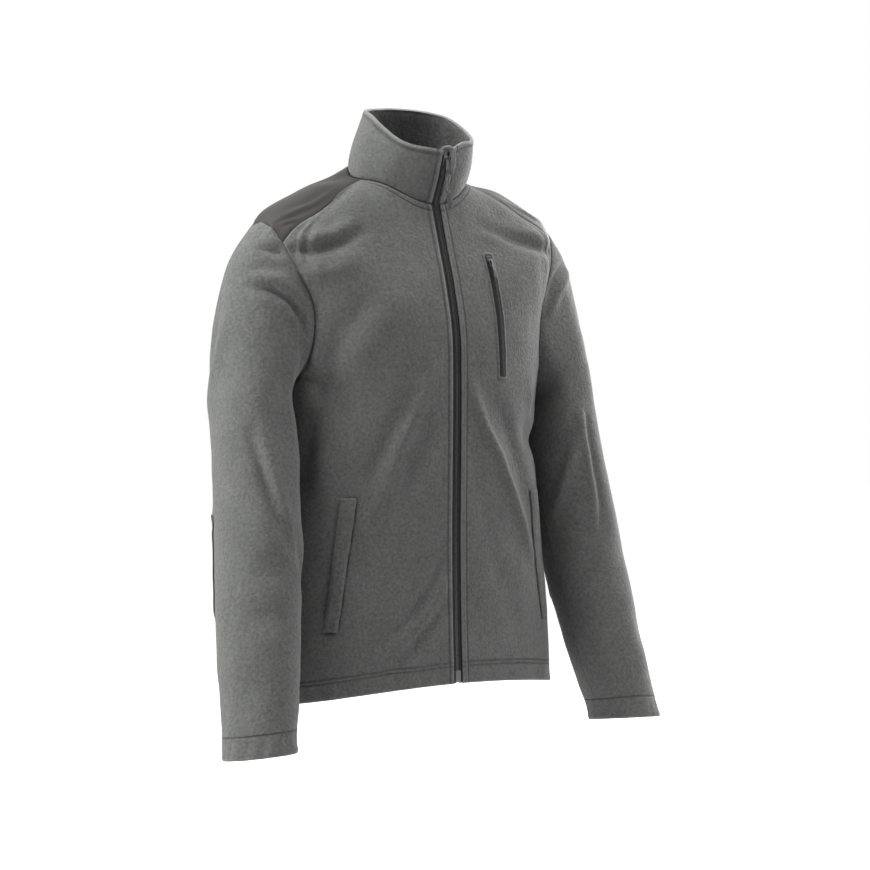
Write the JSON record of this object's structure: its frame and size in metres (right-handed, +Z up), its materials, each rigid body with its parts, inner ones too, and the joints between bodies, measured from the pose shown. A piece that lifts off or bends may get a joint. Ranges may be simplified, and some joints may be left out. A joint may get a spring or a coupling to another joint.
{
  "type": "zip-front fleece jacket with a stand-up collar",
  "caption": "Grey fleece jacket in its worn form, hollow, with a stand-up collar, a full-length front zip, woven shoulder and elbow patches, a chest zip pocket and hand pockets.",
  "frame": {"origin": "middle of the neck's base, level with the highest points of the shoulder seams", "axes": "+Z up, from the hem to the collar; +X to the wearer's left; -Y to the front, the side of the zip"},
  "size_m": [0.674, 0.2825, 0.8317],
  "materials": {
    "fleece": "brushed knitted fleece, matt with a soft nap",
    "woven": "plain dense weave, matt",
    "zip_cloth": "woven tape, matt",
    "zip_plastic": "moulded, satin",
    "metal": "dark painted, satin"
  },
  "bodies": {
    "jacket": {"back": "fleece", "front_left": "fleece", "front_right": "fleece", "sleeve_left": "fleece", "sleeve_right": "fleece", "collar": "fleece", "pocket_welt_left": "fleece", "pocket_welt_right": "fleece", "shoulder_patch_left": "woven", "shoulder_patch_right": "woven", "elbow_patch_left": "woven", "elbow_patch_right": "woven", "zip_tape_left": "zip_cloth", "zip_tape_right": "zip_cloth", "chest_zip_tape": "zip_cloth", "zip_chain": "zip_plastic", "zip_box": "zip_plastic", "chest_zip_chain": "zip_plastic", "zip_slider": "metal", "chest_zip_slider": "metal"},
    "main_pull": {"zip_pull": "metal"},
    "chest_pull": {"chest_zip_pull": "metal"}
  },
  "joints": [
    {"name": "main_pull_hinge", "type": "hinge", "parent": "jacket", "child": "main_pull", "pos_m": [0, -0.10712, 0.00933], "axis": [-1, 0, 0], "range_deg": [-10, 150]},
    {"name": "chest_pull_hinge", "type": "hinge", "parent": "jacket", "child": "chest_pull", "pos_m": [0.07074, -0.10844, -0.11991], "axis": [-0.9973, -0.0699, -0.0216], "range_deg": [0, 140]}
  ]
}
